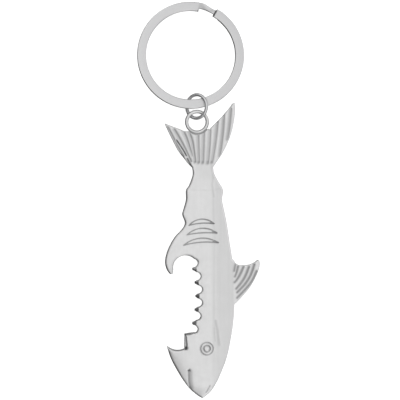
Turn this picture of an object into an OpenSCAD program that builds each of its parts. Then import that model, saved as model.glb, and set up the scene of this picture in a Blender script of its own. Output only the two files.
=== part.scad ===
// Shark bottle opener on a key ring: one die casting, one jump ring and one split key ring.
// It lies on its back face. +Z is up from the surface, +Y runs from the nose to the key ring,
// +X runs from the belly to the back. The origin is on the back face, on the body's centre line.

/* [Casting] */
// Length from the nose to the tip of the tail's long lobe
casting_length = 88; // [72:1:108]
// Width from the outside of the hook to the tip of the dorsal fin
casting_width = 28.4; // [23:0.1:35]
// Thickness of the body between its two flat faces
casting_thickness = 4.6; // [3.8:0.1:6]
// Thickness of the tail and the dorsal fin
fin_thickness = 2.4; // [1.8:0.1:3.2]
// Width of an engraved gill or eye line
line_width = 0.4; // [0.25:0.05:0.6]
// Width of a groove between two fin rays
ray_groove = 0.55; // [0.4:0.05:0.8]
// Depth of every engraved line and groove
engraving_depth = 0.3; // [0.1:0.05:0.5]

/* [Mouth] */
// Distance along the body from the hook's tip to the jaw's tip
mouth_span = 21.4; // [17:0.1:26]
// Depth of the mouth from the hook's tip to the deepest gap between two teeth
mouth_depth = 9.4; // [8:0.1:11.5]
// Radius of the round throat inside the hook
throat_radius = 3.7; // [3:0.1:4.5]
// Number of teeth
tooth_count = 5; // [4:1:6]
// Height of a tooth above the gap beside it
tooth_height = 2.1; // [1.2:0.1:2.6]
// Width of a tooth's blunt tip
tooth_tip = 0.45; // [0.3:0.05:0.8]
// Radius of the hollow behind the jaw's tip
jaw_radius = 4.5; // [3.7:0.1:5.4]

/* [Tail loop] */
// Outside diameter of the loop cast into the tail
loop_outer = 7.2; // [6:0.1:8.7]
// Diameter of the loop's round wire
loop_wire = 1.05; // [0.85:0.05:1.3]

/* [Jump ring] */
// Diameter of the jump ring's wire
jump_wire = 1; // [0.8:0.05:1.25]
// Free space inside the jump ring on each side of what it holds
jump_slack = 0.95; // [0.75:0.05:1.2]
// Width of the butt gap between the wire's two ends
jump_gap = 0.12; // [0.05:0.01:0.3]

/* [Key ring] */
// Outside diameter of the split key ring
key_outer = 32; // [25:0.5:40]
// Width of the flat wire
key_band = 2.7; // [2.2:0.05:3.3]
// Thickness of one turn of the flat wire
key_turn = 0.8; // [0.6:0.05:1]
// Angle over which the wire steps from the upper turn to the lower turn
step_angle = 22; // [16:1:32]
// Width of the wire where it steps down
step_band = 1.5; // [1.2:0.05:2.1]
// Roll of the key ring about the part's length as it lies in the jump ring
key_roll = 3; // [0:0.5:5]

/* [Fits] */
// Clearance between the jump ring's wire and the key ring it crosses
ring_clearance = 0.13; // [0.05:0.01:0.4]
// Gap between the key ring's rim and the tail loop
key_gap = 0.35; // [0.2:0.05:1]
// Height of the jump ring's middle above the loop's
jump_lift = 0.12; // [0:0.01:0.3]
// Gap between the two turns of the key ring
turn_gap = 0.05; // [0.03:0.01:0.15]

/* [Hidden] */
$fn = 96;
over = 1; // how far a cutting tool runs past the face it cuts

// The silhouette's points are drawn for these two overall sizes and this mouth, then fitted
// to the driving sizes: the mouth keeps its own span and the rest of the shark stretches.
drawn_length = 88;
drawn_width = 28.4;
drawn_hook_y = -7.2;
drawn_jaw_y = -28.6;
drawn_mouth = drawn_hook_y - drawn_jaw_y;
across = casting_width / drawn_width;
along = (casting_length - mouth_span) / (drawn_length - drawn_mouth);
hook_y = drawn_hook_y * along;
jaw_y = hook_y - mouth_span;

function fit_y(y) =
    y >= drawn_hook_y ? y * along :
    y <= drawn_jaw_y ? jaw_y + (y - drawn_jaw_y) * along :
    hook_y - (drawn_hook_y - y) * mouth_span / drawn_mouth;
function fit(p) = [p.x * across, fit_y(p.y)];
function fit_all(points) = [for (p = points) fit(p)];

// A smooth curve through a list of points, with a few short chords from each to the next
chords = 4;
function between(a, b, c, d, t) =
    0.5 * (2 * b + (c - a) * t + (2 * a - 5 * b + 4 * c - d) * t * t + (3 * b - a - 3 * c + d) * t * t * t);
function smooth(p) = [
    for (i = [0 : len(p) - 2])
        for (k = [0 : chords - 1])
            between(p[max(i - 1, 0)], p[i], p[i + 1], p[min(i + 2, len(p) - 1)], k / chords),
    p[len(p) - 1]
];

// Body: the back from the nose to the root of the tail, then the belly down to the hook,
// then the chin from the jaw's tip to the nose
back_line = [
    [-0.1, -44.2], [2.2, -42.2], [4.1, -39.3], [5.6, -36], [7.1, -32], [8.2, -27], [9.1, -21],
    [9.4, -15], [9.3, -8], [8.6, -2], [8.0, 2], [7.1, 8], [6.2, 12.4], [5.7, 15], [6.0, 17.8],
    [4.6, 20.4], [3.2, 23.3], [3.2, 27]
];
belly_line = [
    [-3.4, 27], [-3.2, 24.3], [-3.1, 22.3], [-4.2, 19.2], [-5.1, 17.8], [-5.1, 15], [-5.9, 12],
    [-6.2, 10.5], [-5.4, 8.1], [-6.3, 6.2], [-8.5, 3.8], [-10.2, 0.8], [-11.1, -1.8], [-11.3, -4],
    [-10.7, -6], [-9.8, -7.2]
];
chin_line = [
    [-10.8, -28.6], [-9.7, -32], [-8.2, -35], [-6.4, -38], [-4.2, -41], [-2.4, -42.7], [-0.9, -43.8]
];

// Dorsal fin: its leading edge from the back to the tip, then its trailing edge
dorsal_line = [
    [7.5, -17.2], [9.6, -16], [12.3, -13.2], [14.2, -10.8], [15.6, -8.3], [16.6, -6], [17, -3.8],
    [16.4, -2.9], [15.4, -3.6], [14, -4.3], [12, -4.6], [10.2, -4.3], [8.9, -2.8], [7.5, -1]
];

// Tail fin: up the right edge, down the long lobe's rear edge, and out and back on the left
tail_right_line = [
    [2.6, 24], [4.2, 26.4], [6.2, 29.5], [8.2, 34], [9.2, 38], [9.65, 42], [9.5, 43.8]
];
tail_rear_line = [
    [8.7, 43.7], [8, 42.6], [6.2, 40.4], [4.4, 38.5], [2.5, 36.6], [1.4, 36], [-4.8, 35.4],
    [-6.8, 36], [-9, 36.8], [-11.4, 37.8]
];
tail_left_line = [[-11.2, 37], [-9.5, 33.5], [-7.5, 29.7], [-5.6, 27.2], [-4.3, 25.6], [-2.4, 23.8]];

mid_z = casting_thickness / 2;

// Where the body is thick: flat from the belly to the lateral ridge, then a slope down to the
// back's edge, and a taper at the nose and at the root of the tail
ridge_x = 2.7 * across;
back_edge_x = 9.4 * across;
nose_tip_z = 1.3;
nose_flat_y = fit_y(-40);
tail_taper_start = fit_y(21);
tail_taper_end = fit_y(26.5);
far_x = casting_width;
far_y = casting_length;

// Mouth, worked out from the hook's tip
hook_x = -9.6 * across;
hook_tip_width = 0.5;
throat_x = hook_x + 0.7 + throat_radius;
throat_y = hook_y + 1.9;
gum_x = hook_x + mouth_depth;
gum_top = throat_y + 1.4;
gum_bottom = gum_top - mouth_span * 0.92;
gum_bow = 1.4; // how far the row of teeth bows away from its deepest gap
tooth_pitch = (gum_top - gum_bottom) / tooth_count;
gap_radius = 1.3; // of the round bottom between two teeth
jaw_step_y = gum_bottom - 1.1;
jaw_wall_x = hook_x + 4;
jaw_hollow_x = hook_x + 2;
jaw_hollow_y = jaw_y - 1.3 + jaw_radius;

function gum_at(y) =
    let (share = 2 * (y - gum_bottom) / (gum_top - gum_bottom) - 1)
    gum_x - gum_bow * share * share;

// Eye and gills
eye = fit([1.1, -29.3]);
eye_ring_radii = [1.85, 0.95];
// each gill: middle of its chord, chord, rise of its upper arc, rise of its lower arc, turn
gills = [
    [[-0.5, 7.8], 7.5, 1.6, 0.4, 4],
    [[-0.3, 5.0], 8.9, 1.7, 0.35, 3],
    [[-0.6, 2.0], 10.4, 1.75, 0.55, 4]
];

// Fin rays: each groove runs from its root to a point past the fin's edge
tail_ray_count = 9;
tail_ray_root = [1.2, 26]; // spacing and height of the roots
tail_ray_tip = [2.2, 44]; // spacing and height of the far ends
tail_ray_lean = -0.8; // how far the fan leans towards the belly
dorsal_ray_roots = [[9.7, -7.6], [9.6, -9.5], [10.1, -11.4], [10.4, -12.8], [10.6, -14.1]];
dorsal_ray_tips = [[10.9, -3], [12.6, -3], [14.2, -3], [15.8, -3], [16.8, -4.6]];

// Tail loop
loop_radius = (loop_outer - loop_wire) / 2; // to the middle of the wire
loop_x = -1.8 * across;
loop_bottom = fit_y(34.6);
loop_y = loop_bottom + loop_outer / 2;
loop_web = 0.8; // thickness of the tail where the loop lies in it
loop_recess = 0.25; // width of the groove around the loop's outside

// Jump ring: it holds the loop's wire, the gap and the key ring's band
jump_radius = (loop_wire + key_gap + key_band) / 2 + jump_slack + jump_wire / 2;
jump_x = loop_x - 0.1;
jump_y = loop_y + loop_outer / 2 - loop_wire + (loop_wire + key_gap + key_band) / 2;
jump_z = mid_z + jump_lift;
key_stack = 2 * key_turn + turn_gap;
crossing_share = 0.76; // where the wire crosses the band, as a share of the ring's radius
jump_tilt = asin((key_stack / 2 + jump_wire / 2 + ring_clearance) / (crossing_share * jump_radius));
jump_gap_angle = -46;

// Key ring: held up by the jump ring at one side, and lying on the surface at the other
key_radius = key_outer / 2;
key_x = loop_x - 1.85;
hold_y = loop_y + loop_outer / 2 + key_gap + key_band / 2;
key_reach = key_radius - key_band / 2; // from the held point to the ring's middle
hold_z = jump_z;
// The sine of the pitch at which the lowest point of the rolled rim is at the surface
roll_drop = key_radius * sin(key_roll);
low_z = hold_z - key_stack / 2;
pitch_root = sqrt(
    pow(low_z * key_reach, 2) + (pow(key_radius, 2) - pow(key_reach, 2)) * (pow(low_z, 2) - pow(roll_drop, 2))
);
key_pitch = asin((pitch_root - low_z * key_reach) / (pow(key_radius, 2) - pow(key_reach, 2)));
upper_end_angle = 61;
step_inset = 0.6; // how far the stepping wire draws in from the rim
step_run_on = 10; // angle over which it widens again under the upper turn
end_gap = 1.5; // angle left between the stepping wire and each free end

module mirrored_faces() {
    children();
    translate([0, 0, mid_z])
        mirror([0, 0, 1])
            translate([0, 0, -mid_z])
                children();
}

module plate(thickness) {
    translate([0, 0, mid_z - thickness / 2])
        linear_extrude(thickness)
            children();
}

module body_outline() {
    polygon(fit_all(concat(smooth(back_line), smooth(belly_line), smooth(chin_line))));
}

// The body's cross-section, swept along its length
module body_section() {
    edge = fin_thickness / 2;
    translate([0, far_y, mid_z])
        rotate([90, 0, 0])
            linear_extrude(2 * far_y)
                polygon([
                    [-far_x, mid_z], [ridge_x, mid_z], [back_edge_x, edge], [far_x, edge],
                    [far_x, -edge], [back_edge_x, -edge], [ridge_x, -mid_z], [-far_x, -mid_z]
                ]);
}

// The body's side view, swept across its width
module body_side() {
    edge = fin_thickness / 2;
    nose_y = fit_y(-44.2);
    translate([-far_x, 0, mid_z])
        rotate([90, 0, 90])
            linear_extrude(2 * far_x)
                polygon([
                    [nose_y, nose_tip_z], [nose_flat_y, mid_z], [tail_taper_start, mid_z],
                    [tail_taper_end, edge], [far_y, edge], [far_y, -edge], [tail_taper_end, -edge],
                    [tail_taper_start, -mid_z], [nose_flat_y, -mid_z], [nose_y, -nose_tip_z]
                ]);
}

module body() {
    intersection() {
        plate(casting_thickness) body_outline();
        body_section();
        body_side();
    }
}

module dorsal_fin() {
    plate(fin_thickness) polygon(fit_all(smooth(dorsal_line)));
}

module tail_fin() {
    difference() {
        plate(fin_thickness)
            polygon(fit_all(concat(smooth(tail_right_line), smooth(tail_rear_line), smooth(tail_left_line))));
        translate([loop_x, loop_y, -over])
            cylinder(h = casting_thickness + 2 * over, r = loop_radius);
        mirrored_faces()
            translate([loop_x, loop_y, mid_z + loop_web / 2])
                cylinder(h = casting_thickness, r = loop_outer / 2 + loop_recess);
    }
}

module tail_loop() {
    translate([loop_x, loop_y, mid_z])
        rotate_extrude()
            translate([loop_radius, 0])
                circle(d = loop_wire);
}

// The opening that grips the cap, through both faces
module mouth_outline() {
    gap_mouth = (tooth_pitch - tooth_tip) / 2; // half the width between two tooth tips
    hook_side_y = throat_y - throat_radius / 3; // how far down the throat's arc runs on the hook
    gum_side_y = gum_top - 0.2; // and on the gum, where the first gap takes over
    tip_rows = 10;
    intersection() {
        translate([throat_x, throat_y])
            circle(r = throat_radius);
        union() {
            translate([throat_x - 2 * throat_radius, gum_side_y])
                square(4 * throat_radius);
            translate([throat_x - 2 * throat_radius, hook_side_y])
                square(2 * throat_radius);
        }
    }
    intersection() {
        translate([-far_x, jaw_step_y])
            square([2 * far_x, far_y]);
        for (i = [0 : tooth_count]) {
            y = gum_top - i * tooth_pitch;
            translate([gum_at(y), y]) {
                translate([-gap_radius, 0])
                    circle(r = gap_radius);
                polygon([
                    [-gap_radius, -gap_radius], [-gap_radius, gap_radius],
                    [-tooth_height, gap_mouth], [-tooth_height - over, gap_mouth],
                    [-tooth_height - over, -gap_mouth], [-tooth_height, -gap_mouth]
                ]);
            }
        }
    }
    polygon(concat(
        [
            [hook_x + hook_tip_width, hook_y],
            [throat_x - 0.9 * throat_radius, throat_y + 0.3 * throat_radius]
        ],
        [for (i = [0 : tip_rows])
            let (y = gum_top - i * (gum_top - jaw_step_y) / tip_rows)
            [gum_at(y) - tooth_height, y]],
        [[jaw_wall_x, jaw_step_y - 0.3], [jaw_wall_x, jaw_hollow_y], [-far_x, jaw_hollow_y], [-far_x, hook_y]]
    ));
    intersection() {
        translate([jaw_hollow_x, jaw_hollow_y])
            circle(r = jaw_radius);
        translate([-far_x, jaw_y - far_y])
            square([far_x + jaw_wall_x, far_y + mouth_span]);
    }
}

module mouth() {
    translate([0, 0, -over])
        linear_extrude(casting_thickness + 2 * over)
            mouth_outline();
}

// A crescent between two arcs over one chord, smaller all round by the inset
module crescent(chord, upper_rise, lower_rise, inset) {
    upper_radius = (chord * chord / 4 + upper_rise * upper_rise) / (2 * upper_rise);
    lower_radius = (chord * chord / 4 + lower_rise * lower_rise) / (2 * lower_rise);
    difference() {
        translate([0, upper_rise - upper_radius])
            circle(r = upper_radius - inset);
        translate([0, lower_rise - lower_radius])
            circle(r = lower_radius + inset);
    }
}

module gill_lines() {
    for (g = gills)
        translate(fit(g[0]))
            rotate(g[4])
                difference() {
                    crescent(g[1], g[2], g[3], 0);
                    crescent(g[1], g[2], g[3], line_width);
                }
}

module eye_lines() {
    translate(eye)
        for (r = eye_ring_radii)
            difference() {
                circle(r = r + line_width / 2);
                circle(r = r - line_width / 2);
            }
}

// A round-ended groove from one point to another
module groove(from, to) {
    run = to - from;
    translate(from)
        rotate(atan2(run.y, run.x)) {
            translate([0, -ray_groove / 2])
                square([norm(run), ray_groove]);
            circle(d = ray_groove);
        }
}

module tail_rays() {
    for (i = [0 : tail_ray_count - 1]) {
        place = i - (tail_ray_count - 1) / 2;
        groove(
            fit([place * tail_ray_root.x - 0.3, tail_ray_root.y + abs(place) * 0.4]),
            fit([place * tail_ray_tip.x + tail_ray_lean, tail_ray_tip.y])
        );
    }
}

module dorsal_rays() {
    for (i = [0 : len(dorsal_ray_roots) - 1])
        groove(fit(dorsal_ray_roots[i]), fit(dorsal_ray_tips[i]));
}

module engraving(face_z) {
    mirrored_faces()
        translate([0, 0, face_z - engraving_depth])
            linear_extrude(casting_thickness)
                children();
}

module shark_casting() {
    fin_face = mid_z + fin_thickness / 2;
    color("#c9cac8") {
        difference() {
            union() {
                body();
                difference() {
                    union() {
                        dorsal_fin();
                        tail_fin();
                    }
                    engraving(fin_face) {
                        dorsal_rays();
                        tail_rays();
                    }
                }
            }
            mouth();
            engraving(casting_thickness) {
                gill_lines();
                eye_lines();
            }
        }
        tail_loop();
    }
}

module jump_ring() {
    color("#c4c5c6")
        translate([jump_x, jump_y, jump_z])
            rotate([0, -jump_tilt, 0])
                difference() {
                    rotate_extrude()
                        translate([jump_radius, 0])
                            circle(d = jump_wire);
                    rotate(jump_gap_angle)
                        translate([0, -jump_gap / 2, -jump_wire])
                            cube([2 * jump_radius, jump_gap, 2 * jump_wire]);
                }
}

// One turn of the flat wire, anticlockwise from one angle through a sweep
module key_coil(start, sweep, bottom_z) {
    rotate(start)
        rotate_extrude(angle = sweep)
            translate([key_radius - key_band, bottom_z])
                square([key_band, key_turn]);
}

// The stepping stretch: the wire's own section, narrowed, carried down from the upper turn to
// the lower one, and widening again under the upper turn's free end
module key_step(top_z, bottom_z) {
    sections = 14;
    run = step_angle + step_run_on;
    skin = 0.02; // how far the stretch lies inside the turns that it joins
    function ease(t) = (1 - cos(180 * min(max(t, 0), 1))) / 2;
    function corner(a, r, z) = [r * cos(a), r * sin(a), z];
    function ring(t) =
        let (
            a = upper_end_angle - step_run_on + run * t,
            z = bottom_z + (top_z - bottom_z) * ease((a - upper_end_angle - end_gap) / (step_angle - end_gap)),
            narrowing = pow(sin(180 * t), 2),
            outer = key_radius - skin - step_inset * narrowing,
            inner = outer + 2 * skin - key_band + (key_band - step_band) * narrowing,
            low = z + skin,
            high = z + key_turn - skin
        )
        [corner(a, inner, low), corner(a, outer, low), corner(a, outer, high), corner(a, inner, high)];
    last = 4 * sections;
    polyhedron(
        points = [for (i = [0 : sections]) each ring(i / sections)],
        faces = concat(
            [[3, 2, 1, 0], [last, last + 1, last + 2, last + 3]],
            [for (i = [0 : sections - 1])
                for (k = [0 : 3])
                    let (a = 4 * i + k, b = 4 * i + (k + 1) % 4)
                    [a, b, b + 4, a + 4]]
        )
    );
}

module key_ring() {
    upper_z = turn_gap / 2;
    lower_z = -turn_gap / 2 - key_turn;
    overlap = 0.5; // angle by which each turn runs into the stepping stretch
    step_top = upper_end_angle + step_angle;
    color("#cdced0")
        translate([key_x, hold_y, hold_z])
            rotate([-key_pitch, key_roll, 0])
                translate([0, key_reach, 0]) {
                    key_coil(step_top - overlap, 360 - step_angle + overlap, upper_z);
                    key_step(upper_z, lower_z);
                    key_coil(step_top + end_gap, 360 - step_angle - end_gap - step_run_on + overlap, lower_z);
                }
}

shark_casting();
jump_ring();
key_ring();
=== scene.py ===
import math

import bmesh
import bpy
import numpy as np
from mathutils import Matrix, Vector
from mathutils.kdtree import KDTree


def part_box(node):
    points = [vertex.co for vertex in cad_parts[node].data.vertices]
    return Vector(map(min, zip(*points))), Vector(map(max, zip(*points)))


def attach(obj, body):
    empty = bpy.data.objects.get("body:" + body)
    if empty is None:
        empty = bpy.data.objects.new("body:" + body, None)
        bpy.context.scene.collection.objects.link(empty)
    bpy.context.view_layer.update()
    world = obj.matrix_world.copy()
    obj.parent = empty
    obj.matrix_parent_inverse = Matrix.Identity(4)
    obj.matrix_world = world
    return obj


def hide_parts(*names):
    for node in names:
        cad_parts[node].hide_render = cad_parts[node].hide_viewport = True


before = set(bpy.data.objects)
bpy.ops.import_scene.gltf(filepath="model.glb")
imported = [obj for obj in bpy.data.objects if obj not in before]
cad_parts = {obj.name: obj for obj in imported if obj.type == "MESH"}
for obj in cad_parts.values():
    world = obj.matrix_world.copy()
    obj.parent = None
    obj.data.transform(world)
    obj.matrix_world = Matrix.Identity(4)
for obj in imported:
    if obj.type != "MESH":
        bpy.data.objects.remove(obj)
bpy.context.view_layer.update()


# ---- Shark casting ----
# The opener itself: one flat die casting in zinc, both faces alike, tumbled smooth and then plated
# in satin pearl nickel. The cap mouth, the fins and the tail loop are all cast in one piece.
# Its outline is the section of its own CAD solid, so both have the same edge everywhere.
MM = 0.001  # one millimetre in metres; the sizes and places below are in millimetres
CELL = 0.22  # spacing of the sheet that the faces are shaped from
FIN_HALF = 1.2  # half the thickness of the two fins
THINNEST = 0.02  # the least half thickness, at the outline of the loop
RIDGE_X = 3.0  # the ridge that runs along the flank
RIDGE_ROUNDING = 0.5
BACK_SLOPE = 6.4  # width of the slope from the ridge down to the thin back
RIDGE_LINE_X, RIDGE_LINE_WIDTH, RIDGE_LINE_DEPTH = 3.4, 0.45, 0.03
BELLY_CROWN, BELLY_CROWN_REACH = 0.12, 2.6  # how far the belly side falls away to its edge
BELLY_FADE_X = (0, 4)  # the crown fades out between these, and so on for every fade below
WAIST_FADE_Y = (20.6, 26.9)
TAIL_EDGE_FADE_Y, TAIL_TIP_FADE_Y = (22, 26), (28, 30)
TAIL_TIP_X = -3
DORSAL_FADE_X, DORSAL_LOW_Y, DORSAL_HIGH_Y = (8.6, 9.6), -20, 2
NOSE_DROP = 0.9
CHIN_DROP, CHIN_REACH = 0.58, 6.2
CHIN_DROP_LOST = 0.3  # the chin slopes this much less near the nose
TAIL_TAPER, TAIL_TAPER_X, TAIL_TAPER_LENGTH = 0.06, -2, 8  # it thins towards the belly side
EDGE_RADIUS = 0.62
FIN_EDGE_LOST = 0.24  # the edges of the fins are rounded this much less
TAIL_TIP_EDGE_LOST = 0.1
TOOTH_EDGE_LOST = 0.24
TOOTH_ROW_START, TOOTH_ROW_LENGTH = -23.59, 19.69
TOOTH_ROW_FADE_Y = (-25.4, -24.6)
TOOTH_ROOT_X, TOOTH_ROW_BOW, TOOTH_HEIGHT = -0.2, 1.4, 2.1
TOOTH_CHAMFER_LENGTH, TOOTH_CHAMFER_DEPTH = 1.25, 1.4
MOUTH_SIDE_X = -7  # the teeth lie inside this line; the hook's tip and the jaw's tip lie past it
CREASE_DEPTH, CREASE_WIDTH, CREASE_SLOPE = 0.26, 0.4, 1.4
PIT_DEPTH, CREASE_PIT_WIDTH, JAW_PIT_WIDTH = 0.5, 0.6, 0.9
casting_low, casting_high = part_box("shark_casting")
body_half = (casting_high.z - casting_low.z) / 2 / MM
middle_z = (casting_high.z + casting_low.z) / 2

# Ray grooves of the tail, from the rear edge down to the root
tail_grooves = [
    [(-10.6, 36.6), (-9, 33.6), (-7.3, 30.2), (-6, 28)],
    [(-7.9, 32.7), (-6.9, 31.3), (-5.8, 29.6), (-5, 28.1)],
    [(-8.7, 35.9), (-7.1, 33.2), (-5.3, 29.8), (-3.7, 26.4)],
    [(-6, 35.6), (-4.9, 33), (-3.9, 30), (-3.2, 28)],
    [(-4.2, 35), (-3.3, 32.5), (-2.8, 29), (-2.4, 26.2)],
    [(-1.6, 34.5), (-1.35, 26)],
    [(0.1, 34.8), (-0.15, 25.9)],
    [(2, 35.6), (1.8, 31), (1.35, 25.8)],
    [(4.2, 38), (3.7, 33), (3, 28.5), (2.5, 26)],
    [(6.1, 40), (5.9, 36), (5.3, 31), (4.9, 28)],
    [(8.2, 42), (7.9, 38), (7.2, 33)],
]
# Ray grooves of the dorsal fin, from its trailing edge down to the back
dorsal_grooves = [
    [(9.6, -4.4), (9.3, -6.2)],
    [(10.4, -4.9), (9.9, -7), (9.5, -7.9)],
    [(12, -5), (11, -7.3), (10, -9), (9.4, -9.6)],
    [(13.6, -5), (12.6, -7.8), (11.2, -10), (9.9, -11.5)],
    [(15.2, -4.3), (14.3, -7.3), (12.7, -10), (10.2, -12.6)],
    [(15.9, -6.3), (14.5, -9.5), (12.3, -12), (10.2, -14.2)],
]
# Each gill: middle of its chord, chord, rise of its upper arc, rise of its lower arc, turn
gills = [
    ((-0.5, 7.8), 7.5, 1.6, 0.4, 4),
    ((-0.3, 5.0), 8.9, 1.7, 0.35, 3),
    ((-0.6, 2.0), 10.4, 1.75, 0.55, 4),
]
GILL_INSET = 0.2  # how far inside its arc the middle of each gill line runs
eye = (1.1, -29.3)
EYE_GROOVES = ((1.85, 0.38, 0.16), (0.95, 0.42, 0.2))  # radius, width and depth of each
# painted shade in the eye's grooves
EYE_SHADE = 0.6
crease_pit = (-4.25, -35.8)
jaw_pit = (-5.15, -29.2)
mouth_crease = [(-4.3, -36.3), (-4.25, -39), (-4, -40.8)]
nose_crease = [(2, -40.3), (0.8, -42.3)]
cheek_dents = [[(3.9, -21), (4.4, -24), (4.9, -28)], [(3.4, -23), (3.7, -27)]]
jaw_crease = [(-5.3, -25), (-4.9, -28.3), (-5.2, -29.5)]
tail_root = [(-4.7, 27.2), (-3.9, 25.5), (-3.4, 24.4)]
back_dent = [(5.6, 20), (6, 17.5)]
waist_creases = [
    [(-5, 18.1), (-1.5, 17.8), (2, 17.9), (5.5, 18.3)],
    [(2.6, 25.3), (3.1, 22), (2.8, 19.5), (3.3, 16)],
]
flank_line = [[(3, 15), (3.5, 4), (3.4, -20)]]
chin = [(-10.6, -28.8), (-8.1, -35), (-2.4, -42.7)]
loop_middle = (-1.8, 38.2)
LOOP_RADIUS = 3.075
LOOP_WIRE = 1.05
NOTCH_Y = 36.3  # past here the loop stands free of the tail
RECESS_RADIUS, RECESS_EDGE, RECESS_HALF = 3.6, 3.9, 0.4
LOOP_REACH = 4.2  # the loop and its recess lie inside this radius
LOOP_SLACK = 0.05  # how far beside the free wire the sheet is still at its thinnest
LOOP_RISE = 0.8  # how much higher, as a share, the wire stands where it runs into the tail
# painted shade on the flanks of the loop's wire
LOOP_FLANK_SHADE = 0.5
# painted shade round the rim of the loop's recess: where, how wide and how dark
RECESS_SHADE_RADIUS, RECESS_SHADE_WIDTH, RECESS_RIM_SHADE = 3.7, 0.3, 0.4


def gill_arc(gill, rise):
    """Points along one arc of a gill, over its chord."""
    (x, y), chord, _, _, turn = gill
    radius = (chord * chord / 4 + rise * rise) / (2 * rise)
    reach = math.asin(chord / 2 / radius)
    spin = math.radians(turn)
    points = []
    for share in range(-8, 9):
        across = (radius - GILL_INSET) * math.sin(reach * share / 8)
        up = rise - radius + (radius - GILL_INSET) * math.cos(reach * share / 8)
        points.append((
            x + across * math.cos(spin) - up * math.sin(spin),
            y + across * math.sin(spin) + up * math.cos(spin),
        ))
    return points


def rounded(line):
    """The same line with its corners cut off three times over, which leaves a smooth curve."""
    for _ in range(3):
        cut = [line[0]]
        for (ax, ay), (bx, by) in zip(line, line[1:]):
            cut.append((0.75 * ax + 0.25 * bx, 0.75 * ay + 0.25 * by))
            cut.append((0.25 * ax + 0.75 * bx, 0.25 * ay + 0.75 * by))
        line = cut + [line[-1]]
    return line


tail_grooves = [rounded(line) for line in tail_grooves]
edge_ray, dark_ray, tail_rays = tail_grooves[:1], tail_grooves[1:2], tail_grooves[2:]
dorsal_grooves = [rounded(line) for line in dorsal_grooves]
gill_lines = [gill_arc(gill, gill[rise]) for gill in gills for rise in (2, 3)]
gill_corners = [[(2.2, 8.15), (3.1, 7.95)], [(2.8, 5.45), (4, 5.15)], [(3, 2.55), (4.5, 2.25)]]


def line_distance(x, y, line):
    """How far each point is from a line of straight stretches, and on which side: 1 is the right."""
    nearest = np.full(x.shape, 1e9)
    side = np.zeros(x.shape)
    for (ax, ay), (bx, by) in zip(line, line[1:]):
        run_x, run_y = bx - ax, by - ay
        along = ((x - ax) * run_x + (y - ay) * run_y) / (run_x ** 2 + run_y ** 2)
        along = np.clip(along, 0, 1)
        away = np.hypot(x - ax - along * run_x, y - ay - along * run_y)
        closer = away < nearest
        turned = (y - ay) * run_x - (x - ax) * run_y
        side = np.where(closer, -np.sign(turned), side)
        nearest = np.where(closer, away, nearest)
    return nearest, side


def lines_distance(x, y, lines):
    """How far each point is from the nearest of several lines."""
    return np.min([line_distance(x, y, line)[0] for line in lines], axis=0)


def ease(value, start, end):
    """0 before start, 1 after end and a smooth rise between them."""
    share = np.clip((value - start) / (end - start), 0, 1)
    return share * share * (3 - 2 * share)


def groove(distance, width, depth):
    """Depth of a round-bottomed groove at a distance from its middle line."""
    return depth * np.exp(-((distance / (width / 2)) ** 2))


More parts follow.
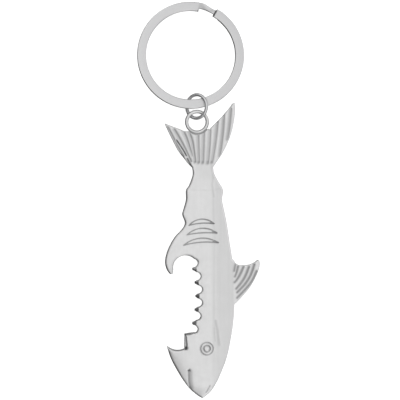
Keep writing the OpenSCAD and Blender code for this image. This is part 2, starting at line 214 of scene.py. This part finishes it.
def casting_half(x, y, edge):
    """Half the thickness of the casting at each point, and how much painted shade darkens it there.
    edge is the distance to the outline."""
    # the body: flat on the belly side, a ridge along the flank, then a slope to the back
    past_ridge = x - RIDGE_X
    slope = (past_ridge + np.sqrt(past_ridge ** 2 + RIDGE_ROUNDING)) / 2 / BACK_SLOPE
    body = body_half - (body_half - FIN_HALF) * np.clip(slope, 0, 1)
    on_flank = ease(-y, -20, -14) * ease(y, -40, -34)
    ridge_line = np.exp(-(((x - RIDGE_LINE_X) / RIDGE_LINE_WIDTH) ** 2))
    body -= RIDGE_LINE_DEPTH * ridge_line * on_flank
    on_belly = 1 - ease(x, *BELLY_FADE_X)
    body -= BELLY_CROWN * np.clip(1 - edge / BELLY_CROWN_REACH, 0, 1) ** 2 * on_belly
    body -= NOSE_DROP * ease(-y, 40, 46)
    chin_away, _ = line_distance(x, y, chin)
    chin_drop = (CHIN_DROP - CHIN_DROP_LOST * ease(-y, 35, 41)) * ease(-y, 27.5, 31)
    body -= chin_drop * np.clip(1 - chin_away / CHIN_REACH, 0, 1) ** 2
    # thinner towards the tail and on the fins
    tail = FIN_HALF - TAIL_TAPER * np.clip(TAIL_TAPER_X - x, 0, TAIL_TAPER_LENGTH)
    half = body + (tail - body) * ease(y, *WAIST_FADE_Y)
    fin = ease(x, *DORSAL_FADE_X) * (y > DORSAL_LOW_Y) * (y < DORSAL_HIGH_Y)
    half = half + (FIN_HALF - half) * fin
    # teeth: each tip is chamfered back from the face
    share = 2 * (y - TOOTH_ROW_START) / TOOTH_ROW_LENGTH - 1
    tip_x = TOOTH_ROOT_X - TOOTH_ROW_BOW * share ** 2 - TOOTH_HEIGHT
    toothed = ease(y, *TOOTH_ROW_FADE_Y) * ease(-y, 3.4, 4.2)
    in_mouth = x > MOUTH_SIDE_X
    chamfer = np.clip((tip_x + TOOTH_CHAMFER_LENGTH - x) / TOOTH_CHAMFER_LENGTH, 0, 1)
    half = half - TOOTH_CHAMFER_DEPTH * (chamfer * toothed * in_mouth)
    # edges rounded by tumbling
    tail_tip = ease(y, *TAIL_TIP_FADE_Y) * (x < TAIL_TIP_X)
    radius = EDGE_RADIUS - FIN_EDGE_LOST * np.maximum(ease(y, *TAIL_EDGE_FADE_Y), fin)
    radius = radius - TAIL_TIP_EDGE_LOST * tail_tip - TOOTH_EDGE_LOST * toothed * in_mouth
    inside = np.clip(radius - edge, 0, None)
    half = half - (radius - np.sqrt(radius ** 2 - inside ** 2))
    # engraved lines: the last number of each is how much painted shade darkens the bottom of the
    # line
    hollow = np.zeros(x.shape)
    for lines, width, depth, shading in (
        (edge_ray, 0.75, 0.16, 0.46),
        (dark_ray, 0.34, 0.32, 1),
        (tail_rays, 0.82, 0.2, 0.28),
        ([tail_root], 0.5, 0.3, 1),
        ([back_dent], 1.1, 0.03, 0.09),
        (dorsal_grooves, 0.7, 0.18, 0.68),
        (gill_lines, 0.32, 0.2, 0.75),
        (gill_corners, 0.45, 0.12, 0.8),
        ([jaw_crease], 0.4, 0.4, 0.75),
        (waist_creases[:1], 0.5, 0.03, 0.05),
        (waist_creases[1:], 0.6, 0.05, 0.13),
        (flank_line, 0.5, 0.01, 0.05),
        ([nose_crease], 0.36, 0.08, 0.3),
        ([cheek_dents[0]], 0.9, 0.08, 0.2),
        ([cheek_dents[1]], 0.4, 0.04, 0.14),
    ):
        cut = groove(lines_distance(x, y, lines), width, depth)
        if lines is tail_rays:  # darker at the root of the tail and on its back side
            shading = shading + 0.3 * ease(-y, -26.9, -26.2) + 0.16 * ease(x, 2.5, 5)
        hollow = np.maximum(hollow, cut / depth * shading)
        if lines is dorsal_grooves:  # fading out where they reach the back
            cut = cut * ease(x, 9.2, 11)
        half = half - cut
    # mouth crease: steep on the chin side, and a long slope on the other
    away, side = line_distance(x, y, mouth_crease)
    steep = groove(away, CREASE_WIDTH, CREASE_DEPTH)
    long_slope = CREASE_DEPTH * np.clip(1 - away / CREASE_SLOPE, 0, 1) ** 1.6
    cut = np.where(side < 0, long_slope, steep)
    half = half - cut
    # painted shade down the steep side of the crease
    hollow = np.maximum(hollow, steep * 2.2)
    from_pit = np.hypot(x - crease_pit[0], y - crease_pit[1])
    pit = groove(from_pit, CREASE_PIT_WIDTH, PIT_DEPTH)
    corner = groove(np.hypot(x - jaw_pit[0], y - jaw_pit[1]), JAW_PIT_WIDTH, PIT_DEPTH)
    half = half - pit - corner
    # painted shade in the two pits
    hollow = np.maximum(hollow, 2 * np.maximum(pit, corner))
    # eye: a raised ring and a raised pupil between two round grooves, with painted shade in the
    # grooves
    from_eye = np.hypot(x - eye[0], y - eye[1])
    for radius_at, width, depth in EYE_GROOVES:
        cut = groove(from_eye - radius_at, width, depth)
        half = half - cut
        hollow = np.maximum(hollow, cut / depth * EYE_SHADE)
    # tail loop: round wire, standing in a recess where it meets the tail, with painted shade
    # on the wire's flanks and round the rim of the recess
    from_loop = np.hypot(x - loop_middle[0], y - loop_middle[1])
    recess = 1 - ease(from_loop, RECESS_RADIUS, RECESS_EDGE)
    near_loop = from_loop < LOOP_REACH
    sunk = np.where(near_loop, half + (RECESS_HALF - half) * recess, half)
    off_wire = np.abs(from_loop - LOOP_RADIUS)
    free = near_loop & (y > NOTCH_Y) & (off_wire < LOOP_WIRE / 2 + LOOP_SLACK)
    sunk = np.where(free | (from_loop < LOOP_RADIUS), THINNEST, sunk)
    rise = 1 + LOOP_RISE * ease(-y, -37.4, -35.4)
    tube = (LOOP_WIRE / 2) ** 2 - (from_loop - LOOP_RADIUS) ** 2
    tube = np.sqrt(np.clip(tube, 0, None)) * rise
    hollow = np.where(from_loop < RECESS_RADIUS, 0, hollow)
    # painted shade round the rim of the recess
    recess_rim_shade = groove(from_loop - RECESS_SHADE_RADIUS, RECESS_SHADE_WIDTH, RECESS_RIM_SHADE)
    hollow = np.maximum(hollow, recess_rim_shade * (y < 36.4))
    half = np.maximum(np.maximum(sunk, tube), THINNEST)
    off_crown = off_wire / (LOOP_WIRE / 2)
    # painted shade on the flanks of the free wire
    hollow = np.maximum(hollow, np.where(tube > sunk, LOOP_FLANK_SHADE * off_crown ** 3, 0))
    return half, np.clip(hollow, 0, 1)


CAD_WELD = 0.001  # corners nearer than this are one, in the CAD mesh
CUT_WELD = 0.02  # beside a cut
RIM_WELD = 0.01  # along the outline
CELL_WELD = 0.025  # in the finished sheet
SECTION_LIFT = 0.02  # the section is taken just above mid thickness
SLANTED = 0.15  # an edge inside the sheet that leans more than this is left by the filling


def slice_sheet(sheet, parts, axis, low, high):
    """Cuts a flat sheet into strips one cell wide, halving the piece at each cut."""
    first, last = math.floor(low / CELL + 1e-6) + 1, math.ceil(high / CELL - 1e-6) - 1
    if first > last or not parts:
        return
    at = (first + last) // 2 * CELL
    normal = Vector((1, 0, 0)) if axis == 0 else Vector((0, 1, 0))
    cut = bmesh.ops.bisect_plane(
        sheet, geom=parts, dist=CUT_WELD * MM, plane_co=normal * at * MM, plane_no=normal
    )["geom"]
    below, above = [], []
    for part in cut:
        if isinstance(part, bmesh.types.BMVert):
            place = part.co[axis]
        else:
            place = sum(corner.co[axis] for corner in part.verts) / len(part.verts)
        (below if place < at * MM else above).append(part)
    slice_sheet(sheet, below, axis, low, at)
    slice_sheet(sheet, above, axis, at, high)


def casting_sheet():
    """The casting's outline at mid thickness, filled and cut into small cells."""
    sheet = bmesh.new()
    sheet.from_mesh(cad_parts["shark_casting"].data)
    bmesh.ops.remove_doubles(sheet, verts=sheet.verts, dist=CAD_WELD * MM)
    everything = sheet.verts[:] + sheet.edges[:] + sheet.faces[:]
    bmesh.ops.bisect_plane(
        sheet, geom=everything, plane_co=(0, 0, middle_z + SECTION_LIFT * MM),
        plane_no=(0, 0, 1), clear_inner=True, clear_outer=True,
    )
    for corner in sheet.verts:
        corner.co.z = middle_z
    bmesh.ops.remove_doubles(sheet, verts=sheet.verts, dist=RIM_WELD * MM)
    bmesh.ops.triangle_fill(sheet, use_beauty=True, edges=sheet.edges[:], normal=(0, 0, 1))
    for axis in (0, 1):
        everything = sheet.verts[:] + sheet.edges[:] + sheet.faces[:]
        slice_sheet(sheet, everything, axis, casting_low[axis] / MM, casting_high[axis] / MM)
    slanted = []
    for side in sheet.edges:
        run = side.verts[1].co - side.verts[0].co
        if len(side.link_faces) == 2 and min(abs(run.x), abs(run.y)) > SLANTED * run.length:
            slanted.append(side)
    bmesh.ops.dissolve_edges(sheet, edges=slanted, use_verts=False, use_face_split=False)
    spare = [v for v in sheet.verts if len(v.link_edges) == 2 and not v.is_boundary]
    bmesh.ops.dissolve_verts(sheet, verts=spare)
    bmesh.ops.remove_doubles(sheet, verts=sheet.verts, dist=CELL_WELD * MM)
    return sheet


LINE_REACH = 0.42  # cells nearer to a line than this are halved
EYE_REACH = 2.25
RECESS_BAND, RECESS_BAND_HALF = 3.2, 0.75  # the loop and the rim of its recess


def refine_sheet(sheet, lines):
    """Halves the cells beside every engraved line, at the eye and round the loop."""
    cells = [f for f in sheet.faces if len(f.verts) == 4]
    middles = np.array([f.calc_center_median() for f in cells]) / MM
    x, y = middles[:, 0], middles[:, 1]
    away = lines_distance(x, y, lines)
    from_eye = np.hypot(x - eye[0], y - eye[1])
    from_loop = np.hypot(x - loop_middle[0], y - loop_middle[1])
    round_loop = np.abs(from_loop - RECESS_BAND) < RECESS_BAND_HALF
    wanted = (away < LINE_REACH) | (from_eye < EYE_REACH) | round_loop
    sides = {side for cell, chosen in zip(cells, wanted) if chosen for side in cell.edges}
    bmesh.ops.subdivide_edges(sheet, edges=list(sides), cuts=1, use_grid_fill=True)


OUTLINE_STEP = 0.05  # spacing of the points that stand for the outline
RUB_REACH = 0.35  # how far in from the outline the plating is rubbed bright


def shark_mesh():
    """The whole casting: one face shaped from the sheet, and the other as its mirror image."""
    sheet = casting_sheet()
    creases = [mouth_crease, nose_crease, jaw_crease]
    refine_sheet(sheet, tail_grooves + dorsal_grooves + gill_lines + creases)
    many_sided = [f for f in sheet.faces if len(f.verts) > 4]
    bmesh.ops.triangulate(sheet, faces=many_sided, quad_method="BEAUTY", ngon_method="BEAUTY")
    rim = [side for side in sheet.edges if side.is_boundary]
    samples = []
    for side in rim:
        start, end = side.verts[0].co, side.verts[1].co
        steps = max(1, math.ceil((end - start).length / (OUTLINE_STEP * MM)))
        samples += [start.lerp(end, step / steps) for step in range(steps)]
    outline = KDTree(len(samples))
    for index, place in enumerate(samples):
        outline.insert(place, index)
    outline.balance()
    hollow_layer = sheet.verts.layers.float.new("hollow")
    edge_layer = sheet.verts.layers.float.new("edge")
    corners = sheet.verts[:]
    edge = np.array([0 if v.is_boundary else outline.find(v.co)[2] / MM for v in corners])
    places = np.array([v.co for v in corners]) / MM
    half, hollow = casting_half(places[:, 0], places[:, 1], edge)
    # depth here is the painted shade of each corner, kept for the material
    for corner, up, depth, away in zip(corners, half, hollow, edge):
        corner.co.z = middle_z - up * MM
        corner[hollow_layer] = depth
        corner[edge_layer] = math.exp(-away / RUB_REACH)
    raised = bmesh.ops.extrude_face_region(sheet, geom=sheet.faces[:], use_keep_orig=True)["geom"]
    for part in raised:
        if isinstance(part, bmesh.types.BMVert):
            part.co.z = 2 * middle_z - part.co.z
    bmesh.ops.recalc_face_normals(sheet, faces=sheet.faces[:])
    return sheet


def add_piece(name, shape, smooth=True):
    """Makes an object from a finished bmesh."""
    mesh = bpy.data.meshes.new(name)
    shape.to_mesh(mesh)
    shape.free()
    for face in mesh.polygons:
        face.use_smooth = smooth
    piece = bpy.data.objects.new(name, mesh)
    bpy.context.scene.collection.objects.link(piece)
    return piece


def new_material(name):
    """A node material, its node tree and its shader."""
    material = bpy.data.materials.new(name)
    material.use_nodes = True
    tree = material.node_tree
    return material, tree, tree.nodes["Principled BSDF"]


def add_node(tree, kind, **values):
    """Adds a node and sets the inputs or settings that are named."""
    node = tree.nodes.new(kind)
    for key, value in values.items():
        if key in node.inputs:
            node.inputs[key].default_value = value
        else:
            setattr(node, key, value)
    return node


def noise(tree, scale, detail, stretch=(1, 1, 1)):
    """Noise in the piece's own coordinates; scale is in waves to the metre."""
    coordinates = add_node(tree, "ShaderNodeTexCoord")
    mapping = add_node(tree, "ShaderNodeMapping", Scale=stretch)
    pattern = add_node(tree, "ShaderNodeTexNoise", Scale=scale, Detail=detail)
    tree.links.new(coordinates.outputs["Object"], mapping.inputs["Vector"])
    tree.links.new(mapping.outputs["Vector"], pattern.inputs["Vector"])
    return pattern.outputs["Fac"]


def spread(tree, value, low, high, from_low=0.3, from_high=0.7):
    """Carries a value from one range, which is that of noise if none is given, to another."""
    ranged = add_node(tree, "ShaderNodeMapRange")
    tree.links.new(value, ranged.inputs["Value"])
    limits = {"From Min": from_low, "From Max": from_high, "To Min": low, "To Max": high}
    for key, limit in limits.items():
        if isinstance(limit, bpy.types.NodeSocket):
            tree.links.new(limit, ranged.inputs[key])
        else:
            ranged.inputs[key].default_value = limit
    return ranged.outputs["Result"]


def mix_colours(tree, factor, first, second):
    """Goes from the first colour to the second as the factor goes from 0 to 1."""
    blend = add_node(tree, "ShaderNodeMix", data_type="RGBA")
    tree.links.new(factor, blend.inputs["Factor"])
    for socket, colour in ((blend.inputs[6], first), (blend.inputs[7], second)):
        if isinstance(colour, tuple):
            socket.default_value = (*colour, 1)
        else:
            tree.links.new(colour, socket)
    return blend.outputs[2]


# Satin pearl nickel: an even silky plating, a little cloudy, brighter where tumbling has
# rubbed the edges, with painted shade darkening the engraved lines, creases, pits and the loop.
PEARL, PALE_PEARL = (0.79, 0.79, 0.79), (0.82, 0.82, 0.82)
POLISH_STREAK = (0.74, 0.74, 0.74)
RUBBED_EDGE = (0.84, 0.84, 0.84)
# painted shade at the bottom of the lines, creases and pits
PAINTED_HOLLOW_SHADE = (0.14, 0.14, 0.145)
GRAIN_HEIGHT = 0.02 * MM
satin_nickel, tree, shader = new_material("satin_nickel")
shader.inputs["Metallic"].default_value = 1
hollow_value = add_node(tree, "ShaderNodeAttribute", attribute_name="hollow").outputs["Fac"]
edge_value = add_node(tree, "ShaderNodeAttribute", attribute_name="edge").outputs["Fac"]
clouding = spread(tree, noise(tree, scale=260, detail=3), 0, 1)
cloud = mix_colours(tree, clouding, PEARL, PALE_PEARL)
polish = spread(tree, noise(tree, scale=1100, detail=3, stretch=(1, 0.05, 1)), 0, 0.45)
polished = mix_colours(tree, polish, cloud, POLISH_STREAK)
wear = spread(tree, edge_value, 0, 0.5, from_low=0, from_high=1)
rubbed = mix_colours(tree, wear, polished, RUBBED_EDGE)
# painted shade in the lines, creases, pits and round the loop
shade_darkened = mix_colours(tree, hollow_value, rubbed, PAINTED_HOLLOW_SHADE)
tree.links.new(shade_darkened, shader.inputs["Base Color"])
roughness = spread(tree, noise(tree, scale=900, detail=4), 0.38, 0.46)
tree.links.new(roughness, shader.inputs["Roughness"])
grain = add_node(tree, "ShaderNodeBump", Strength=0.12, Distance=GRAIN_HEIGHT)
tree.links.new(noise(tree, scale=5200, detail=3), grain.inputs["Height"])
tree.links.new(grain.outputs["Normal"], shader.inputs["Normal"])

shark = add_piece("cast_shark", shark_mesh())
shark.data.materials.append(satin_nickel)
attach(shark, "opener")
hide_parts("shark_casting")


# ---- Jump ring ----
# Drawn round steel wire, nickel plated bright, bent through the tail loop and the key ring and
# closed with pliers, which leaves a butt gap with two blunt cut ends.
JUMP_RADIUS = 3.5 * MM
JUMP_WIRE = 1.0 * MM
JUMP_GAP = 0.12 * MM
CUT_BEVEL = 0.07 * MM
WIRE_SIDES = 28
JUMP_STEPS = 140
gap_angle = math.radians(-46)
jump_low, jump_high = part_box("jump_ring")
jump_centre = (jump_low + jump_high) / 2
jump_tilt = math.acos(((jump_high.x - jump_low.x) / 2 - JUMP_WIRE / 2) / JUMP_RADIUS)

wire = bmesh.new()
bmesh.ops.create_circle(wire, cap_ends=True, segments=WIRE_SIDES, radius=JUMP_WIRE / 2)
bmesh.ops.rotate(wire, verts=wire.verts, matrix=Matrix.Rotation(math.pi / 2, 3, "X"))
bmesh.ops.translate(wire, verts=wire.verts, vec=(JUMP_RADIUS, 0, 0))
half_gap = JUMP_GAP / 2 / JUMP_RADIUS
bmesh.ops.rotate(wire, verts=wire.verts, matrix=Matrix.Rotation(gap_angle + half_gap, 3, "Z"))
bmesh.ops.spin(
    wire, geom=wire.verts[:] + wire.edges[:] + wire.faces[:], cent=(0, 0, 0), axis=(0, 0, 1),
    angle=2 * math.pi - 2 * half_gap, steps=JUMP_STEPS,
)
flank_shade_layer = wire.verts.layers.float.new("flank")
cut_faces = [f for f in wire.faces if len(f.verts) > 4]
cut_edges = [side for f in cut_faces for side in f.edges]
bmesh.ops.bevel(
    wire, geom=cut_edges, offset=CUT_BEVEL, segments=2, affect="EDGES", profile=0.5, material=-1
)
# painted shade: the flanks of the wire get darker away from its crown
for corner in wire.verts:
    off_crown = abs(corner.co.xy.length - JUMP_RADIUS) / (JUMP_WIRE / 2)
    corner[flank_shade_layer] = min(off_crown, 1) ** 3
bmesh.ops.rotate(wire, verts=wire.verts, matrix=Matrix.Rotation(-jump_tilt, 3, "Y"))
bmesh.ops.translate(wire, verts=wire.verts, vec=jump_centre)
bmesh.ops.recalc_face_normals(wire, faces=wire.faces[:])

# Bright nickel: a little cloudy, with painted shade darkening the wire's flanks against its crown
WIRE_NICKEL, PALE_WIRE_NICKEL = (0.76, 0.76, 0.77), (0.84, 0.84, 0.85)
# painted shade on the wire's flanks
PAINTED_FLANK_SHADE = (0.2, 0.2, 0.205)
bright_wire, tree, shader = new_material("bright_wire")
shader.inputs["Metallic"].default_value = 1
clouding = spread(tree, noise(tree, scale=500, detail=2), 0, 1)
cloud = mix_colours(tree, clouding, WIRE_NICKEL, PALE_WIRE_NICKEL)
flank_shade_value = add_node(tree, "ShaderNodeAttribute", attribute_name="flank").outputs["Fac"]
flank_shading = spread(tree, flank_shade_value, 0, 0.55, from_low=0, from_high=1)
flank_shaded = mix_colours(tree, flank_shading, cloud, PAINTED_FLANK_SHADE)
tree.links.new(flank_shaded, shader.inputs["Base Color"])
roughness = spread(tree, noise(tree, scale=1500, detail=3), 0.26, 0.36)
tree.links.new(roughness, shader.inputs["Roughness"])
grain = add_node(tree, "ShaderNodeBump", Strength=0.1, Distance=GRAIN_HEIGHT)
tree.links.new(noise(tree, scale=4000, detail=2), grain.inputs["Height"])
tree.links.new(grain.outputs["Normal"], shader.inputs["Normal"])

jump_ring = add_piece("wire_jump_ring", wire)
jump_ring.data.materials.append(bright_wire)
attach(jump_ring, "jump_ring")
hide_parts("jump_ring")


# ---- Key ring ----
# A split ring of flat spring-steel wire, coiled twice, tumbled and nickel plated. It is narrowed
# where it steps from one turn to the other, and its two ends are cut off square.
KEY_RADIUS = 16.0  # in millimetres, as the other sizes of this ring are
KEY_BAND = 2.7
KEY_TURN = 0.8
KEY_CORNER = 0.3
TURN_GAP = 0.05
STEP_OUTER_INSET = 0.5
STEP_INNER_INSET = 0.85
STEP_TWIST = math.radians(24)
KEY_REACH = KEY_RADIUS - KEY_BAND / 2
key_held_at = Vector((-3.65, 43.5, 2.42)) * MM
key_roll = math.radians(3)
key_pitch = math.radians(2.186)
coil_start = 80  # degrees; the lower free end
step_start = 411  # the wire starts to draw in, under the upper free end
step_low = 422.5  # it starts to rise
step_end = 439  # it has reached the upper turn
coil_end = 781  # the upper free end
COIL_STEPS = 700
END_ROUNDING = 0.5
END_SLANT = 0.55
SHADE_INSET, SHADE_BLEND = 0.45, 0.9  # where the step's shaded inner side starts, and how softly
STEP_SHADE = 0.9
STREAK_STEP = 0.25  # how far the streaks run along with each step
FLAT_FACE_WEIGHT = 60
TALL = 2.0  # rise of each step while the coil is wound, before it is pressed flat

# One turn after another is wound as a tall spring, so that each step has its own height
band = bmesh.new()
bmesh.ops.create_grid(band, x_segments=1, y_segments=1, size=0.5)
bmesh.ops.scale(band, verts=band.verts, vec=(KEY_BAND, KEY_TURN, 1))
bmesh.ops.bevel(
    band, geom=band.verts[:], offset=KEY_CORNER, segments=4, affect="VERTICES",
    profile=0.5, material=-1,
)
bmesh.ops.rotate(band, verts=band.verts, matrix=Matrix.Rotation(math.pi / 2, 3, "X"))
bmesh.ops.translate(band, verts=band.verts, vec=(KEY_REACH, 0, 0))
first_turn = Matrix.Rotation(math.radians(coil_start), 3, "Z")
bmesh.ops.rotate(band, verts=band.verts, matrix=first_turn)
bmesh.ops.spin(
    band, geom=band.verts[:] + band.edges[:] + band.faces[:], cent=(0, 0, 0), axis=(0, 0, 1),
    dvec=(0, 0, TALL), angle=math.radians(coil_end - coil_start), steps=COIL_STEPS,
)
along_layer = band.loops.layers.uv.new("wire_length")
for face in band.faces:
    for loop in face.loops:
        place = loop.vert.co
        step = round(place.z / TALL)
        outward = math.hypot(place.x, place.y) - KEY_REACH
        loop[along_layer].uv = (step * STREAK_STEP, outward + (place.z - step * TALL))
shade_layer = band.verts.layers.float.new("shade")


def soft_step(value, start, end):
    """The same smooth rise as ease, for one number."""
    share = min(max((value - start) / (end - start), 0), 1)
    return share * share * (3 - 2 * share)


for corner in band.verts:
    step = round(corner.co.z / TALL)
    turned = coil_start + (coil_end - coil_start) * step / COIL_STEPS
    drawing = soft_step(turned, step_start, step_low)
    up = corner.co.z - step * TALL
    outward = math.hypot(corner.co.x, corner.co.y) - KEY_REACH
    drawn_out = drawing * soft_step(-turned, -step_end + 3, -step_low - 2)
    drawn_in = drawing * soft_step(-turned, -step_end - 3, -step_end)
    rise = min(max((turned - step_low) / (step_end - step_low), 0), 1)
    rise = (1 - math.cos(math.pi * rise)) / 2
    from_end = KEY_REACH * math.radians(min(turned - coil_start, coil_end - turned))
    lost = END_ROUNDING - math.sqrt(END_ROUNDING ** 2 - max(END_ROUNDING - from_end, 0) ** 2)
    outer = KEY_RADIUS - STEP_OUTER_INSET * drawn_out - lost
    inner = KEY_RADIUS - KEY_BAND + STEP_INNER_INSET * drawn_in
    middle_here = (outer + inner) / 2
    twist = STEP_TWIST * math.sin(math.pi * rise) * drawn_in
    outward *= (outer - inner) / KEY_BAND
    radius = middle_here + outward * math.cos(twist) + up * math.sin(twist)
    level = (rise - 0.5) * (KEY_TURN + TURN_GAP) + up * math.cos(twist) - outward * math.sin(twist)
    at_end = from_end < 1e-6
    inner_side = min(max((-outward - SHADE_INSET) / SHADE_BLEND, 0), 1)
    # painted shade: full at the cut ends, and on the inner side of the step where the wire is drawn
    # in
    corner[shade_layer] = 1 if at_end else STEP_SHADE * drawn_in * inner_side
    slant = END_SLANT * (up / KEY_TURN + 0.5) * at_end
    angle = math.radians(turned) - slant / KEY_REACH * (1 if turned > step_end else -1)
    corner.co = Vector((radius * math.cos(angle), radius * math.sin(angle), level)) * MM
lay = Matrix.Translation(key_held_at) @ Matrix.Rotation(key_roll, 4, "Y")
lay = lay @ Matrix.Rotation(-key_pitch, 4, "X") @ Matrix.Translation((0, KEY_REACH * MM, 0))
bmesh.ops.transform(band, matrix=lay, verts=band.verts)
bmesh.ops.recalc_face_normals(band, faces=band.faces[:])

# Brushed nickel: streaks along the wire, and painted shade at the cut ends and on the inner side
# of the step where the wire is drawn in
BAND_NICKEL, PALE_BAND_NICKEL = (0.69, 0.69, 0.695), (0.735, 0.735, 0.74)
# painted shade at the cut ends and inside the step
PAINTED_STEP_SHADE = (0.1, 0.1, 0.105)
brushed_band, tree, shader = new_material("brushed_band")
shader.inputs["Metallic"].default_value = 1
wire_length = add_node(tree, "ShaderNodeUVMap", uv_map="wire_length")
stretch = add_node(tree, "ShaderNodeMapping", Scale=(0.5, 9, 1))
streaks = add_node(tree, "ShaderNodeTexNoise", Scale=1.4, Detail=5)
tree.links.new(wire_length.outputs["UV"], stretch.inputs["Vector"])
tree.links.new(stretch.outputs["Vector"], streaks.inputs["Vector"])
streaking = spread(tree, streaks.outputs["Fac"], 0, 1)
tone = mix_colours(tree, streaking, BAND_NICKEL, PALE_BAND_NICKEL)
shade_value = add_node(tree, "ShaderNodeAttribute", attribute_name="shade").outputs["Fac"]
shaded = mix_colours(tree, shade_value, tone, PAINTED_STEP_SHADE)
tree.links.new(shaded, shader.inputs["Base Color"])
roughness = spread(tree, streaks.outputs["Fac"], 0.40, 0.28)
tree.links.new(roughness, shader.inputs["Roughness"])
grain = add_node(tree, "ShaderNodeBump", Strength=0.15, Distance=GRAIN_HEIGHT)
tree.links.new(streaks.outputs["Fac"], grain.inputs["Height"])
tree.links.new(grain.outputs["Normal"], shader.inputs["Normal"])

key_ring = add_piece("split_key_ring", band)
key_ring.data.materials.append(brushed_band)
flat_faces = key_ring.modifiers.new("flat_faces", "WEIGHTED_NORMAL")
flat_faces.weight = FLAT_FACE_WEIGHT
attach(key_ring, "key_ring")
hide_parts("key_ring")


# ---- Floor, light and camera ----
# A plain white table that the metal doesn't mirror, a studio sky that is darker on the left, a
# large soft light from the upper right and a weaker one from the right, and a camera straight above.
TABLE_HALF = 1.5  # in metres
TABLE_DROP = 0.05 * MM  # the table lies this far below the opener
TABLE_WHITE, TABLE_PALE_WHITE = (0.90, 0.90, 0.90), (0.92, 0.92, 0.92)
TABLE_GLOW = 0.75
floor_shape = bmesh.new()
bmesh.ops.create_grid(floor_shape, x_segments=1, y_segments=1, size=TABLE_HALF)
bmesh.ops.translate(floor_shape, verts=floor_shape.verts, vec=(0, 0, -TABLE_DROP))
floor = add_piece("table_top", floor_shape, smooth=False)
white_table, tree, shader = new_material("white_table")
mottle = mix_colours(tree, noise(tree, scale=30, detail=2), TABLE_WHITE, TABLE_PALE_WHITE)
tree.links.new(mottle, shader.inputs["Base Color"])
shader.inputs["Roughness"].default_value = 0.9
shader.inputs["Specular IOR Level"].default_value = 0
shader.inputs["Emission Color"].default_value = (1, 1, 1, 1)
shader.inputs["Emission Strength"].default_value = TABLE_GLOW
floor.data.materials.append(white_table)
floor.visible_glossy = False

# The sky: how grey it is at each place from the left, 0, to the right, 1. It is weaker low down,
# and weakest there on the left.
DARK_LEFT, PALE_RIGHT = 0.05, 0.9
SKY_GREYS = (
    (0.18, 0.3), (0.3, 0.5), (0.41, 0.9), (0.49, 1), (0.55, 0.79), (0.66, 0.53), (0.76, 0.6)
)
SKY_RUN = (0.93, 0.36, 0)
LOW_SKY_RUN = (0.9, -0.35, 0)
LOW_LEFT_STRENGTH, LOW_RIGHT_STRENGTH, HIGH_STRENGTH = 0.2, 0.9, 1.2
sky = bpy.data.worlds.new("studio_sky")
sky.use_nodes = True
tree = sky.node_tree
direction = add_node(tree, "ShaderNodeTexCoord")
parts = add_node(tree, "ShaderNodeSeparateXYZ")
tree.links.new(direction.outputs["Generated"], parts.inputs["Vector"])


def sky_share(run):
    """How far each direction of the sky points along a run."""
    share = add_node(tree, "ShaderNodeVectorMath", operation="DOT_PRODUCT")
    share.inputs[1].default_value = run
    tree.links.new(direction.outputs["Generated"], share.inputs[0])
    return share.outputs["Value"]


from_left = spread(tree, sky_share(SKY_RUN), 0, 1, from_low=-1, from_high=1)
low_strength = spread(
    tree, sky_share(LOW_SKY_RUN), LOW_LEFT_STRENGTH, LOW_RIGHT_STRENGTH, from_low=-0.3, from_high=0.6
)
strength = spread(
    tree, parts.outputs["Z"], low_strength, HIGH_STRENGTH, from_low=-0.25, from_high=0.15
)
tree.links.new(strength, tree.nodes["Background"].inputs["Strength"])
shades = add_node(tree, "ShaderNodeValToRGB")
tree.links.new(from_left, shades.inputs["Fac"])
ramp = shades.color_ramp
ramp.elements[0].color = (DARK_LEFT, DARK_LEFT, DARK_LEFT, 1)
ramp.elements[1].color = (PALE_RIGHT, PALE_RIGHT, PALE_RIGHT, 1)
for place, grey in SKY_GREYS:
    ramp.elements.new(place).color = (grey, grey, grey, 1)
tree.links.new(shades.outputs["Color"], tree.nodes["Background"].inputs["Color"])
bpy.context.scene.world = sky

LIT_MIDDLE = (0, 0.01, 0)


def soft_light(name, place, size, watts):
    """A square light that is turned to the middle of the opener and doesn't show in the metal."""
    lamp = bpy.data.lights.new(name, "AREA")
    lamp.shape = "SQUARE"
    lamp.size = size
    lamp.energy = watts
    holder = bpy.data.objects.new(name, lamp)
    holder.location = place
    aim = Vector(place) - Vector(LIT_MIDDLE)
    holder.rotation_euler = aim.to_track_quat("Z", "Y").to_euler()
    holder.visible_glossy = False
    bpy.context.scene.collection.objects.link(holder)


soft_light("upper_right_light", place=(0.42, 0.30, 0.42), size=0.40, watts=0.5)
soft_light("right_light", place=(0.50, -0.18, 0.30), size=0.30, watts=0.2)

VIEW_WIDTH = 0.1192  # in metres, as the view's middle is
VIEW_X, VIEW_Y = -0.0009, 0.0149
VIEW_HEIGHT = 3 * MM  # the view is that wide at this height, near the top of the casting
lens = bpy.data.cameras.new("camera")
lens.sensor_width = 36
lens.lens = 150
camera = bpy.data.objects.new("camera", lens)
distance = VIEW_WIDTH * lens.lens / lens.sensor_width
camera.location = (VIEW_X, VIEW_Y, distance + VIEW_HEIGHT)
bpy.context.scene.collection.objects.link(camera)
bpy.context.scene.camera = camera
bpy.context.scene.view_settings.view_transform = "Standard"
